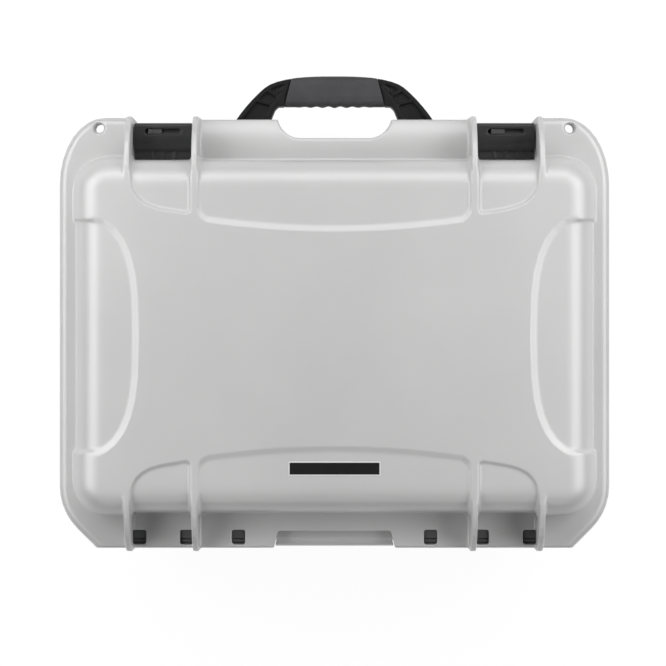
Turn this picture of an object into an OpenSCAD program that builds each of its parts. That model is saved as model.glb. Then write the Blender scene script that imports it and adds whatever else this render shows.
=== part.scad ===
// Hard carrying case for a small drone: moulded base and lid with a rim all round,
// two claw latches and a folding handle at the front, a pinned hinge at the back and cut foam inside.
// The case lies on its base. X runs along the front, -Y is the front with the handle, +Z is up.

/* [Case] */
// Width of the body at the parting line
body_w = 448; // [430:1:470]
// Depth of the body at the parting line
body_d = 308; // [296:1:330]
// Height of the base below the parting line
base_h = 122; // [112:1:140]
// Height of the lid above the parting line
lid_h = 56; // [52:1:64]
// Upright corner radius of the body at the parting line
corner_r = 30; // [29.5:0.5:40]
// Rounding between the walls and the large faces
edge_r = 24; // [20:0.5:28]
// Draft of the lid walls over their height
lid_draft = 1; // [0.5:0.1:1.4]
// Draft of the base walls over their height
base_draft = 1.4; // [0.5:0.1:1.5]
// Wall thickness
wall_t = 4.5; // [3.5:0.1:5.5]
// Depth of the recessed panels
relief = 2.5; // [1.5:0.1:3.5]
// Width of the soft slope round a recessed panel
slope_w = 5; // [3:0.5:7]
// Reach of the front middle panel from the wall onto the face
front_panel_reach = 65.5; // [56:0.5:70]
// Reach of the back middle panel from the wall onto the face
back_panel_reach = 61; // [56:0.5:70]
// Reach of the panels over the latches from the wall onto the face
front_pocket_reach = 51; // [46:0.5:54]
// Reach of the panels over the hinges from the wall onto the face
back_pocket_reach = 49; // [46:0.5:54]
// Reach of the side panels from the wall onto the face
side_reach = 58.5; // [48:0.5:62]
// Distance of the side panels from the front and back walls
side_margin = 50; // [46:1:60]

/* [Rim] */
// Width of the rim at the sides
rim_side = 13.5; // [12:0.5:18]
// Width of the rim at the front
rim_front = 34.5; // [33:0.5:38]
// Width of the rim at the back
rim_back = 29; // [27:0.5:32]
// Thickness of the rim on the lid and on the base
rim_t = 12; // [11:0.5:13]
// Rounding of the rim's outer edge
rim_round = 6; // [2:0.5:7]
// Rounding of the rim's back edge
rim_back_round = 2; // [1:0.5:4]
// Set back of the front rim between the inner ribs
rim_setback = 1.5; // [0.5:0.25:3]
// Radius of the rounded top of the front rim between the inner ribs
crown_r = 40; // [36:1:80]
// Width of the front corner curve
front_corner_x = 39; // [32:1:44]
// Depth of the front corner curve
front_corner_y = 58; // [45:1:66]
// Radius of the back corner curve
back_corner_r = 52; // [40:1:60]
// Distance from the rim's back edge to the middle of the back corner curve
back_corner_y = 53.5; // [46:0.5:60]
// Gap between the two rims when the case is shut
part_gap = 0.8; // [0.4:0.1:1.2]
// Radius of the padlock holes
padlock_r = 4.2; // [3:0.1:5]
// Distance from the rim's side edge to the padlock holes
padlock_side = 34.5; // [30:0.5:40]
// Distance from the front edge to the padlock holes
padlock_inset = 9; // [8:0.5:12]
// Half width of the finger notch at the front edge
notch_w = 49; // [44:1:52]
// Half width of the finger notch at its flat bottom
notch_floor_w = 31; // [25:1:36]
// Depth of the finger notch
notch_d = 17.7; // [12:0.5:20]

/* [Ribs] */
// Distance of the outer ribs from the side walls
rib_inset = 48; // [44:0.5:50]
// Distance between the two ribs beside a latch
rib_pitch = 57.2; // [55:0.2:60]
// Thickness of a rib
rib_t = 5; // [4:0.5:5.5]
// How far the back ribs stand out past the rim
rib_out = 2; // [1:0.5:4]

/* [Seal] */
// Width of the seal groove in the lid
groove_w = 6; // [5:0.5:7]
// Depth of the seal groove
groove_d = 7; // [6:0.5:8]
// Height of the gasket in the groove
gasket_h = 4.2; // [3.5:0.1:5]
// Thickness of the base lip that presses on the gasket
tongue_t = 3.6; // [3:0.1:4]
// Gap between the lip and the gasket
seal_gap = 0.2; // [0.1:0.05:0.4]

/* [Hinge] */
// Radius of the hinge pins
hinge_pin_r = 2; // [1.5:0.1:2.5]
// Distance of the hinge axis from the rim's back edge
hinge_inset = 6.5; // [6:0.25:8]
// Drop of the hinge axis below the parting line
hinge_drop = 7; // [6.5:0.25:8]
// Radius of the moulded knuckles on the base
knuckle_r = 6; // [5:0.25:6.4]
// Width of a hinge window in the lid rim
window_w = 11.5; // [10:0.5:12]
// Length of a hinge window, front to back
window_l = 12.6; // [11:0.2:13]
// Distance of the innermost hinge window from the inner rib
window_step = 36; // [30:0.5:42]
// Rim left behind a hinge window
window_edge = 3.4; // [3:0.1:5]
// Thickness of the hinge leaf plate
leaf_t = 3; // [2:0.25:4]
// Running clearance of a pin in its bore
run_gap = 0.05; // [0.02:0.01:0.1]
// Radius of the hinge screws
screw_r = 1.9; // [1.5:0.1:2.2]

/* [Latches] */
// Set back of the latch face from the rim's front edge
latch_inset = 5; // [3:0.25:6]
// Thickness of the latch lever
lever_t = 4.4; // [3.5:0.1:5]
// Length of the latch lever below its pin
lever_l = 44; // [36:1:52]
// Thickness of the claw plate
claw_t = 6; // [5:0.25:7]
// Gap between a claw and the ribs beside it
claw_gap = 1.3; // [0.8:0.1:2]
// Drop of the claw pin below the parting line
claw_drop = 22; // [19:0.5:26]
// Height of the keeper ledge on the lid
keeper_h = 9; // [8:0.25:10]
// Gap between the hook and the keeper
hook_gap = 0.5; // [0.4:0.1:1]
// Length of the ribbed lip behind the hook
lip_l = 5; // [4:0.5:6]
// Thickness of the ribbed lip
lip_t = 1.6; // [1.2:0.1:2.4]
// Gap between the lip and the lid's wall
lip_gap = 0.8; // [0.5:0.1:1.5]
// Height of the claw top above the keeper
claw_rise = 8; // [6:0.5:10]
// Radius of the claw pins
claw_pin_r = 2; // [1.5:0.1:2.5]
// Radius of the lever pins
lever_pin_r = 1.2; // [1:0.1:1.4]
// Length of the slot for the lock slide
lock_slot_l = 31; // [26:1:34]
// Width of the slot for the lock slide
lock_slot_w = 4.5; // [4:0.25:5]
// Length of the lock slide
lock_l = 14; // [10:1:16]

/* [Handle] */
// Reach of the handle from its pivot to the crown
handle_reach = 57.3; // [53:0.1:64]
// Half width of the handle at its pivots
handle_half_w = 96; // [90:1:100]
// Thickness of the handle frame
handle_t = 16; // [13:0.5:17]
// Half width of the finger opening
opening_w = 49; // [44:1:53]
// Height of the grip bar
grip_d = 26.8; // [23:0.1:31]
// Thickness of the soft grip
grip_t = 22; // [19:0.5:22]
// Half width of the grip on its finger side
grip_w = 45; // [40:1:48]
// Radius of the handle pins
handle_pin_r = 2.5; // [2:0.1:3]
// Drop of the handle pivot below the parting line
handle_drop = 24; // [23.5:0.5:28]
// Distance of the handle pivot in front of the body
pivot_out = 16; // [14:0.5:18]
// Thickness of a handle lug on the base
lug_t = 5.5; // [4:0.5:7]

/* [Valve] */
// Radius of the pressure valve's stem
valve_r = 8; // [6:0.25:10]
// Drop of the valve below the parting line
valve_drop = 46; // [40:1:56]
// Width of the valve's flange beyond its stem
valve_flange = 4; // [3:0.25:5]

/* [Foam] */
// Gap between foam and walls
foam_gap = 3; // [2:0.25:5]
// Thickness of the foam pad on the floor
pad_t = 9.7; // [6:0.1:14]
// Drop of the foam block's top below the parting line
foam_drop = 3; // [2:0.5:8]
// Foam left between two pockets
foam_wall = 11; // [8:0.5:14]
// Width of the pocket for the drone
drone_pocket_w = 215; // [190:1:230]
// Depth of the row of pockets at the front
front_row_d = 50; // [40:1:60]
// Depth of the pocket for the controller
control_pocket_d = 108; // [95:1:115]
// Depth of the battery pockets, front to back
battery_pocket_d = 80; // [70:1:86]
// Number of battery pockets
battery_count = 4; // [3:1:5]
// Corner radius of the pockets
pocket_r = 6; // [3:0.5:10]
// Peaks of the lid foam along its width
crate_cols = 9; // [6:1:9]
// Peaks of the lid foam along its depth
crate_rows = 6; // [4:1:6]
// Thickness of the lid foam at its peaks
crate_t = 44; // [40:0.5:46]
// Height of the lid foam's waves
crate_wave = 18; // [10:1:20]

/* [Label] */
// Width of the blank label plate
label_w = 78; // [60:1:90]
// Height of the blank label plate
label_d = 12; // [9:0.5:14]
// Thickness of the blank label plate
label_t = 1; // [0.6:0.1:1.2]
// Distance of the label from the back wall
label_inset = 42; // [39:0.5:46]

/* [Hidden] */
$fn = 48;
corner_steps = 8;
edge_steps = 10;
curve_steps = 8;
cut = 1;
skim = 0.3;

half_w = body_w / 2;
half_d = body_d / 2;
front_y = -half_d - rim_front;
back_y = half_d + rim_back;
side_panel_y = half_d - side_margin;
side_panel_power = 2.9;
arc_r = 755;
crown_lean = 3;
crown_deep = 8;
padlock_x = half_w + rim_side - padlock_side;
outer_rib_x = half_w - rib_inset;
inner_rib_x = outer_rib_x - rib_pitch;
cavity_drop = relief + wall_t;
cavity_r = edge_r - wall_t;
mouth_w = half_w - cavity_drop;
mouth_d = half_d - cavity_drop;
mouth_r = corner_r - cavity_drop;

bay_in = inner_rib_x + rib_t / 2;
bay_out = outer_rib_x - rib_t / 2;
bay_mid = (bay_in + bay_out) / 2;
bay_w = bay_out - bay_in;

groove_mid = cavity_drop - groove_w / 2 - 2;
gasket_side_gap = 0.3;
gasket_z = part_gap + groove_d - gasket_h;

hinge_y = back_y - hinge_inset;
leaf_gap = 0.2;
window_side = 0.2;
window_x = [
    inner_rib_x - window_step,
    bay_in + window_w / 2 + window_side,
    bay_out - window_w / 2 + 3 * window_side
];
window_y = back_y - window_edge - window_l / 2;
knuckle_in = window_x[0] - window_w / 2 - 7;
knuckle_out = outer_rib_x + rib_t;
slot_gap = 0.7;
leaf_barrel_r = knuckle_r - 0.8;
leaf_web = leaf_barrel_r - 0.6;
leaf_front = window_y - window_l / 2 - 1.6;
leaf_back = window_y + window_l / 2 + 1.6;
leaf_in = window_x[0] - window_w / 2 - 1;
leaf_out = window_x[2] + window_w / 2 + 0.5;
leaf_holes = [(window_x[0] + window_x[1]) / 2, (window_x[1] + window_x[2]) / 2];
screw_head_r = screw_r + 1.6;
screw_head_t = 1.6;
screw_l = rim_t - 2.6;
back_notch_w = 52.5;
back_notch_floor_w = 48.5;
back_notch_d = 15;
bumper_gap = 0.7;
bumper_top = 0.6;

latch_front = front_y + latch_inset;
claw_front = latch_front + lever_t + 0.8;
claw_back = claw_front + claw_t;
keeper_front = claw_back + 2.8;
lip_tip = -half_d + relief - lip_gap;
hook_tip = -half_d - lip_l;
hook_z = keeper_h + hook_gap;
lip_rib_step = 10;
lip_rib_t = 1.6;
lip_rib_h = 1;
claw_top = keeper_h + claw_rise;
hook_fall = claw_top - hook_z - lip_t - 0.6;
claw_w = bay_w - 2 * claw_gap;
claw_pivot_y = claw_back + 0.3;
claw_barrel_r = claw_pin_r + 3.5;
ear_t = 3.4;
lever_gap = 0.5;
lever_w = claw_w - 2 * ear_t - 2 * lever_gap;
lever_pivot_y = latch_front + lever_t / 2 + 0.2;
lever_barrel_r = lever_t / 2 + 0.2;
lever_pivot_z = keeper_h - lever_barrel_r - 2.6;
chin_z = lever_pivot_z + lever_barrel_r + 0.6;
lock_gap = 0.2;
lock_y = latch_front + 7.6;
lock_depth = 4;
lock_end = 0.5;

pivot_y = -half_d - pivot_out;
crown_y = pivot_y - handle_reach;
grip_y = crown_y + grip_d;
leg_in = opening_w + 17;
leg_out = handle_half_w - 3;
leg_barrel_r = handle_t / 2;
lug_gap = 0.5;
lug_r = leg_barrel_r + 0.25;
bar_t = grip_t - 9;

valve_y = -half_d + relief - 1.5;
valve_pad_t = 9;
valve_pad_r = valve_r + 7;
valve_flange_t = 2.6;
valve_ring_r = 1.1;
valve_nut_t = 4.5;

label_y = half_d - label_inset;
label_proud = 0.4;
label_gap = 0.2;
label_z = lid_h - relief - label_t + label_proud;

floor_z = cavity_drop;
ceiling_z = lid_h - cavity_drop;
foam_w = 2 * (mouth_w - base_draft - foam_gap - 6);
foam_d = 2 * (mouth_d - base_draft - foam_gap - 6);
foam_z = floor_z + pad_t + 0.5;
foam_top = base_h - foam_drop;
pad_in = cavity_r - 2;
right_w = foam_w - 3 * foam_wall - drone_pocket_w;
drone_pocket_d = foam_d - 3 * foam_wall - front_row_d;
extra_pocket_d = foam_d - 4 * foam_wall - control_pocket_d - battery_pocket_d;
half_pocket_w = (drone_pocket_w - foam_wall) / 2;
battery_wall = 6;
battery_w = (right_w - (battery_count - 1) * battery_wall) / battery_count;
left_x = -foam_w / 2 + foam_wall;
right_x = left_x + drone_pocket_w + foam_wall;

// Outlines and solids that several pieces share

// Rounded rectangle, counter-clockwise
function ring(w, d, r) = [
    for (q = [0:3]) for (k = [0:corner_steps])
        let (a = 90 * (q + k / corner_steps), sx = q == 0 || q == 3 ? 1 : -1, sy = q < 2 ? 1 : -1)
        [sx * (w - r) + r * cos(a), sy * (d - r) + r * sin(a)]
];

function mirrored(half) = concat(half, [for (k = [len(half) - 1:-1:0]) [-half[k][0], half[k][1]]]);

function cubic(a, b, c, d, t) = let (s = 1 - t)
    s * s * s * a + 3 * s * s * t * b + 3 * s * t * t * c + t * t * t * d;

function curve(a, b, c, d) = [for (k = [0:curve_steps]) cubic(a, b, c, d, k / curve_steps)];

// Rim outline: long front corners, round back corners that end in a slanted edge
function rim_outline(inset) = let (
    fx = half_w + rim_side - front_corner_x,
    fy = front_y + front_corner_y,
    bx = half_w + rim_side - back_corner_r,
    by = back_y - back_corner_y,
    br = back_corner_r - inset,
    back = back_y - inset * rim_back_round / rim_round,
    end = [bx + br * cos(45), by + br * sin(45)],
    side = concat(
        [for (k = [0:curve_steps]) let (a = -90 + 90 * k / curve_steps)
            [fx + (front_corner_x - inset) * cos(a), fy + (front_corner_y - inset) * sin(a)]],
        [for (k = [0:5]) [bx + br * cos(9 * k), by + br * sin(9 * k)]],
        [[end[0] - (back - end[1]), back]]
    )
) mirrored(side);

// Solid through a stack of like outlines, each given as [points, height]
module stack(layers) {
    n = len(layers[0][0]);
    m = len(layers);
    points = [for (l = layers) for (p = l[0]) [p[0], p[1], l[1]]];
    sides = [for (i = [0:m - 2]) for (j = [0:n - 1])
        [i * n + j, (i + 1) * n + j, (i + 1) * n + (j + 1) % n, i * n + (j + 1) % n]];
    low = [for (j = [0:n - 1]) j];
    high = [for (j = [n - 1:-1:0]) (m - 1) * n + j];
    polyhedron(points, concat([low], sides, [high]));
}

// Block with drafted walls and a large rounding up to its face
module rounded_block(w, d, r, z, h, round_r, draft) {
    stack(concat(
        [[ring(w, d, r), z]],
        [for (k = [0:edge_steps])
            let (a = 90 * k / edge_steps, in = draft + round_r * (1 - cos(a)))
            [ring(w - in, d - in, max(r - in, skim)), h - round_r + round_r * sin(a)]]
    ));
}

// Panel outlines, drawn for the +X side or the front; in sets the edge back
function side_panel(in) = concat(
    [[half_w + 2 * rim_side, -side_panel_y + in], [half_w + 2 * rim_side, side_panel_y - in]],
    [for (k = [0:2 * curve_steps])
        let (a = 90 - 90 * k / curve_steps, c = cos(a), s = sin(a), p = 2 / side_panel_power)
        [half_w - (side_reach - in) * pow(abs(c), p),
            sign(s) * (side_panel_y - in) * pow(abs(s), p)]]
);

function arc_y(x, reach) = -half_d + reach - x * x / (2 * arc_r);
panel_end_x = inner_rib_x - rib_t / 2 - 0.6;

function middle_panel(in, reach) = let (
    w = panel_end_x - in / 3,
    end_y = arc_y(w, reach) - in,
    half = concat([[w, front_y - rim_front], [w, end_y - 8], [w - 2, end_y - 3]],
        [for (k = [0:curve_steps]) let (x = (w - 7) * (1 - k / curve_steps)) [x, arc_y(x, reach) - in]])
) concat(half, [for (k = [len(half) - 2:-1:0]) [-half[k][0], half[k][1]]]);

pocket_out = bay_out - 0.6;
pocket_in = bay_in + 0.6;

function pocket_panel(in, reach) = let (
    o = pocket_out - in / 3,
    i = pocket_in + in / 3,
    end_y = reach - half_d - in
) concat(
    [[i, front_y - rim_front], [o, front_y - rim_front]],
    curve([o, end_y - 31], [o - 1, end_y - 3], [i + 24, end_y - 4], [i + 3, end_y]),
    [[i, end_y - 2]]
);

module panel_cut(low, high, h) {
    top = h + skim;
    stack([[low, -cut], [low, h - relief], [high, top]]);
}

module panels(h) {
    grow = slope_w * skim / relief;
    for (m = [0, 1]) {
        middle = m == 0 ? front_panel_reach : back_panel_reach;
        pocket = m == 0 ? front_pocket_reach : back_pocket_reach;
        mirror([m, 0, 0]) panel_cut(side_panel(slope_w), side_panel(-grow), h);
        mirror([0, m, 0]) {
            panel_cut(middle_panel(slope_w, middle), middle_panel(-grow, middle), h);
            for (n = [0, 1]) mirror([n, 0, 0])
                panel_cut(pocket_panel(slope_w / 2, pocket), pocket_panel(-grow, pocket), h);
        }
    }
}

// Body of either half: recessed skin, raised face that the panels leave, open from z up
module body_form(z, h, draft) {
    rounded_block(half_w - relief, half_d - relief, corner_r - relief, z, h - relief, edge_r, draft);
    difference() {
        rounded_block(half_w, half_d, corner_r, z, h, edge_r, draft);
        panels(h);
    }
}

module cavity(h, draft) {
    rounded_block(mouth_w, mouth_d, mouth_r, -cut, h - cavity_drop, cavity_r, draft);
}

// Upright plate at x, drawn as [distance from the middle, height], turned to the front or the back
module rib(x, profile, back) {
    translate([x - rib_t / 2, 0, 0])
        mirror([0, back ? 0 : 1, 0])
            rotate([90, 0, 90])
                linear_extrude(rib_t) polygon(profile);
}

module rib_set(profile, back) {
    for (s = [-1, 1]) for (x = [inner_rib_x, outer_rib_x]) rib(s * x, profile, back);
}

// Crest of a rib: a quarter of an ellipse from the face down to the rim
function crest(reach, foot, top, start) = [
    for (k = [0:curve_steps]) let (a = 90 - 90 * k / curve_steps)
        [start + (reach - start) * cos(a), foot + (top - foot) * sin(a)]
];

rib_start = half_d - edge_r + 4;
rib_root = half_d - edge_r - 10;

module rim_block(z) {
    steps = 4;
    stack(concat(
        [[rim_outline(0), z]],
        [for (k = [0:steps]) let (a = 90 * k / steps)
            [rim_outline(rim_round * (1 - cos(a))), rim_t - rim_round * (1 - sin(a))]]
    ));
}

// What the front rim lacks between the inner ribs: a strip of its edge
module setback_cut() {
    box([-panel_end_x, front_y - rim_side, -rim_t], [panel_end_x, front_y + rim_setback, 2 * rim_t]);
}

// and, on the lid, all that is above a rounded top, which dips towards the wall
module crown_cut() {
    foot = -half_d + relief + lid_draft / 4;
    middle = (front_y + foot) / 2 + crown_lean;
    difference() {
        box([-panel_end_x, front_y - cut, rim_t - crown_deep], [panel_end_x, foot, rim_t + cut]);
        pin_x(crown_r, -body_w, body_w, middle, rim_t - crown_r);
    }
}

module finger_notch() {
    power = 1.8;
    w = notch_w - notch_floor_w;
    side = concat(
        [[notch_w, front_y - rim_side]],
        [for (k = [0:curve_steps]) let (a = 90 * k / curve_steps)
            [notch_floor_w + w * pow(cos(a), 2 / power), front_y + notch_d * pow(sin(a), 2 / power)]]
    );
    translate([0, 0, -rim_t]) linear_extrude(3 * rim_t) polygon(mirrored(side));
}

module padlock_holes() {
    chamfer = 1.8;
    for (s = [-1, 1]) translate([s * padlock_x, front_y + padlock_inset, 0]) {
        translate([0, 0, -rim_t]) cylinder(r = padlock_r, h = 3 * rim_t);
        translate([0, 0, rim_t - chamfer])
            cylinder(r1 = padlock_r, r2 = padlock_r + 2 * chamfer, h = 2 * chamfer);
    }
}

module ring_wall(mid, t, z, h) {
    difference() {
        translate([0, 0, z]) linear_extrude(h) polygon(ring(mid[0] + t / 2, mid[1] + t / 2, mid[2] + t / 2));
        translate([0, 0, z - cut])
            linear_extrude(h + 2 * cut) polygon(ring(mid[0] - t / 2, mid[1] - t / 2, mid[2] - t / 2));
    }
}

seal_line = [half_w - groove_mid, half_d - groove_mid, corner_r - groove_mid];

module pin_x(r, x0, x1, y, z) {
    translate([x0, y, z]) rotate([0, 90, 0]) cylinder(r = r, h = x1 - x0);
}

module box(low, high) {
    translate(low) cube(high - low);
}

// Lid

module lid_shell() {
    front_rib = concat([[rib_root, part_gap], [rib_root, lid_h - skim]],
        crest(-front_y + skim, rim_t + 6, lid_h - skim, rib_start), [[-front_y + skim, part_gap]]);
    back_rib = concat([[rib_root, part_gap], [rib_root, lid_h - skim]],
        crest(back_y + rib_out, rim_t + 4, lid_h - skim, rib_start), [[back_y + rib_out, part_gap]]);
    color([0.78, 0.78, 0.78]) translate([0, 0, base_h]) {
        difference() {
            union() {
                body_form(part_gap, lid_h, lid_draft);
                rim_block(part_gap);
                rib_set(front_rib, false);
                rib_set(back_rib, true);
            }
            cavity(lid_h, lid_draft);
            ring_wall(seal_line, groove_w, 0, part_gap + groove_d);
            setback_cut();
            crown_cut();
            finger_notch();
            back_notch();
            padlock_holes();
            for (s = [-1, 1]) scale_x(s) {
                latch_bay();
                leaf_cuts();
            }
            label_seat();
        }
    }
}

module scale_x(s) {
    mirror([s < 0 ? 1 : 0, 0, 0]) children();
}

module back_notch() {
    translate([0, 0, -cut]) linear_extrude(rim_t + 2 * cut) polygon([
        [-back_notch_floor_w, back_y - back_notch_d], [back_notch_floor_w, back_y - back_notch_d],
        [back_notch_w, back_y + cut], [-back_notch_w, back_y + cut]
    ]);
}

// Gap in the lid rim for a latch, with the keeper ledge left at the wall
module latch_bay() {
    box([bay_in, front_y - rim_side, -cut], [bay_out, keeper_front, lid_h]);
    box([bay_in, keeper_front - cut, keeper_h], [bay_out, -half_d + relief, rim_t + cut]);
}

module leaf_cuts() {
    for (x = window_x)
        translate([x - window_w / 2, window_y - window_l / 2, -cut])
            cube([window_w, window_l, rim_t + 2 * cut]);
    box([leaf_in - leaf_gap, leaf_front - leaf_gap, -cut],
        [leaf_out + leaf_gap, leaf_back + leaf_gap, part_gap + leaf_t + leaf_gap]);
    for (x = leaf_holes) translate([x, window_y, 0]) cylinder(r = screw_r, h = part_gap + screw_l);
}

module label_seat() {
    translate([-label_w / 2 - label_gap, label_y - label_d / 2 - label_gap, label_z])
        cube([label_w + 2 * label_gap, label_d + 2 * label_gap, label_t + cut]);
}

module label_plate() {
    color([0.2, 0.21, 0.25])
        translate([-label_w / 2, label_y - label_d / 2, base_h + label_z])
            cube([label_w, label_d, label_t]);
}

module gasket() {
    color([0.12, 0.12, 0.12]) translate([0, 0, base_h])
        ring_wall(seal_line, groove_w - 2 * gasket_side_gap, gasket_z, gasket_h);
}

// Base, drawn upside down from the parting line and turned over

module base_shell() {
    lower = 38;
    front_rib = concat([[rib_root, part_gap], [rib_root, base_h - skim]],
        crest(-front_y + skim, lower, base_h - skim, rib_start), [[-front_y + skim, part_gap]]);
    back_rib = concat([[rib_root, 8], [rib_root, base_h - skim]],
        crest(back_y + rib_out, lower + 16, base_h - skim, rib_start),
        [[back_y + rib_out, hinge_drop + 17.5], [half_d + 5, 8]]);
    color([0.76, 0.76, 0.76]) translate([0, 0, base_h]) {
        mirror([0, 0, 1]) difference() {
            union() {
                difference() {
                    union() {
                        body_form(0, base_h, base_draft);
                        base_rim();
                        rib_set(front_rib, false);
                        rib_set(back_rib, true);
                        knuckle_bars();
                        bumper();
                        handle_lugs();
                    }
                    cavity(base_h, base_draft);
                }
                valve_pad();
            }
            setback_cut();
            finger_notch();
            padlock_holes();
            for (s = [-1, 1]) scale_x(s) {
                box([bay_in, front_y - rim_side, -cut],
                    [bay_out, claw_pivot_y + claw_barrel_r + 2, rim_t + cut]);
                for (x = window_x) box([x - window_w / 2 - slot_gap, hinge_y - knuckle_r - 1.5, -cut],
                    [x + window_w / 2 + slot_gap, back_y, hinge_drop + knuckle_r + cut]);
                pin_x(hinge_pin_r, knuckle_in + 2, knuckle_out + cut, hinge_y, hinge_drop);
                pin_x(claw_pin_r, bay_in - rib_t - cut, bay_out + rib_t + cut, claw_pivot_y, claw_drop);
                pin_x(handle_pin_r, leg_in - lug_gap - lug_t - cut, leg_out + lug_gap + lug_t + cut,
                    pivot_y, handle_drop);
            }
            translate([0, valve_y, valve_drop]) rotate([-90, 0, 0])
                translate([0, 0, -cut]) cylinder(r = valve_r + 0.2, h = valve_pad_t + 4 * cut);
        }
        ring_wall(seal_line, tongue_t, -cut, cut + gasket_z - seal_gap);
    }
}

module base_rim() {
    difference() {
        rim_block(0);
        box([-body_w, hinge_y - 1, -cut], [body_w, back_y + rim_back, rim_t + cut]);
    }
}

module knuckle_bars() {
    for (s = [-1, 1]) scale_x(s) pin_x(knuckle_r, knuckle_in, knuckle_out, hinge_y, hinge_drop);
}

// Foot at the back that fills the notch in the lid rim
module bumper() {
    out = back_y - 0.5;
    root = half_d - 6;
    low = 26;
    deep = low + 24;
    w = back_notch_w - bumper_gap;
    floor_w = back_notch_floor_w - bumper_gap;
    intersection() {
        translate([-w, 0, 0]) rotate([90, 0, 90]) linear_extrude(2 * w) polygon(concat([[root, bumper_top]],
            [for (k = [0:4]) let (a = 90 - 90 * k / 4) [out - 8 + 8 * cos(a), bumper_top + 8 - 8 * sin(a)]],
            [[out, low], [out - 7, low + 8], [root, deep]]));
        linear_extrude(deep + cut) polygon([
            [-floor_w, root - cut], [floor_w, root - cut], [floor_w, back_y - back_notch_d],
            [w, back_y], [-w, back_y], [-floor_w, back_y - back_notch_d]
        ]);
    }
}

module handle_lugs() {
    for (s = [-1, 1]) scale_x(s) for (x = [leg_in - lug_gap - lug_t, leg_out + lug_gap]) {
        pin_x(lug_r, x, x + lug_t, pivot_y, handle_drop);
        box([x, pivot_y, handle_drop - lug_r + 0.4],
            [x + lug_t, -half_d + cavity_drop - 1, handle_drop + lug_r - 0.4]);
    }
}

module valve_pad() {
    translate([0, valve_y, valve_drop]) rotate([-90, 0, 0]) cylinder(r = valve_pad_r, h = valve_pad_t);
}

// Hinge

// Black leaf under the lid rim: lugs fill the rim windows and knuckles turn on the pin
module hinge_leaf(side) {
    lug_drop = 2.4;
    band = 1.2;
    color([0.11, 0.11, 0.12]) translate([0, 0, base_h]) scale_x(side) difference() {
        union() {
            box([leaf_in, leaf_front, part_gap], [leaf_out, leaf_back, part_gap + leaf_t]);
            for (x = window_x) {
                w = window_w / 2 - leaf_gap;
                l = window_l / 2 - leaf_gap;
                box([x - w, window_y - l, part_gap], [x + w, window_y + l, rim_t - lug_drop]);
                box([x - w, hinge_y - leaf_web, -hinge_drop],
                    [x + w, hinge_y + leaf_web, part_gap + leaf_t / 2]);
                pin_x(leaf_barrel_r, x - w, x + w, hinge_y, -hinge_drop);
            }
        }
        for (x = window_x) for (y = [1, 4])
            translate([x - window_w, window_y + y, rim_t - lug_drop - 2]) cube([2 * window_w, band, 2 + cut]);
        pin_x(hinge_pin_r + run_gap, leaf_in - cut, leaf_out + cut, hinge_y, -hinge_drop);
        for (x = leaf_holes) translate([x, window_y, 0]) {
            cylinder(r = screw_r + 0.2, h = rim_t);
            cylinder(r = screw_head_r + 0.2, h = part_gap + screw_head_t + 0.2);
        }
    }
}

module hinge_screws() {
    socket_r = screw_r * 0.75;
    color([0.72, 0.72, 0.74]) translate([0, 0, base_h + part_gap])
        for (s = [-1, 1]) for (x = leaf_holes) translate([s * x, window_y, 0.2]) difference() {
            union() {
                cylinder(r = screw_head_r, h = screw_head_t);
                cylinder(r = screw_r, h = screw_l - 0.4);
            }
            translate([0, 0, -cut]) cylinder(r = socket_r, h = cut + 1.2, $fn = 6);
        }
}

module hinge_pin(side) {
    color([0.7, 0.7, 0.72]) translate([0, 0, base_h])
        scale_x(side) pin_x(hinge_pin_r, knuckle_in + 2, knuckle_out - 0.6, hinge_y, -hinge_drop);
}

// Latches, each drawn about the middle of its bay

module in_bay(side) {
    translate([side * bay_mid, 0, base_h]) children();
}

module along_bay(w) {
    translate([-w / 2, 0, 0]) rotate([90, 0, 90]) linear_extrude(w) children();
}

// Claw: plate on the base pin, hook over the keeper with a ribbed lip behind it,
// and a chin that covers the lever's top
module latch_claw(side) {
    soft = 2.5;
    start = latch_front + 11;
    turn = 75;
    hook_crest = [for (k = [0:5]) let (a = turn * k / 5)
        [start + (hook_tip - start) * sin(a) / sin(turn),
            claw_top - hook_fall * (1 - cos(a)) / (1 - cos(turn))]];
    color([0.12, 0.12, 0.13]) in_bay(side) difference() {
        union() {
            along_bay(claw_w) polygon([
                [claw_front, -claw_drop], [claw_front, chin_z], [latch_front + 0.6, chin_z],
                [latch_front, chin_z + 0.6], [latch_front, claw_top - soft - 1.5],
                [latch_front + 0.8, claw_top - 1.2], [latch_front + soft, claw_top - 0.4],
                each hook_crest, [hook_tip, hook_z + 0.5],
                [hook_tip - 0.5, hook_z], [claw_back + 1, hook_z], [claw_back, hook_z - 1],
                [claw_back, -claw_drop]
            ]);
            pin_x(claw_barrel_r, -claw_w / 2, claw_w / 2, claw_pivot_y, -claw_drop);
            box([-claw_w / 2, hook_tip - cut, hook_z], [claw_w / 2, lip_tip, hook_z + lip_t]);
            for (k = [-1:1]) translate([lip_rib_step * k, 0, hook_z])
                box([-lip_rib_t / 2, hook_tip - cut, 0], [lip_rib_t / 2, lip_tip - 0.4, lip_t + lip_rib_h]);
            for (s = [-1, 1]) translate([s * (claw_w - ear_t) / 2, 0, 0]) along_bay(ear_t) polygon([
                [claw_front + cut, chin_z + cut], [latch_front, chin_z + cut],
                [latch_front, lever_pivot_z - 3], [claw_front + cut, lever_pivot_z - 9]
            ]);
        }
        pin_x(claw_pin_r + run_gap, -claw_w, claw_w, claw_pivot_y, -claw_drop);
        pin_x(lever_pin_r, -claw_w / 2 - cut, claw_w / 2 + cut, lever_pivot_y, lever_pivot_z);
        lock_slot();
    }
}

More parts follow.
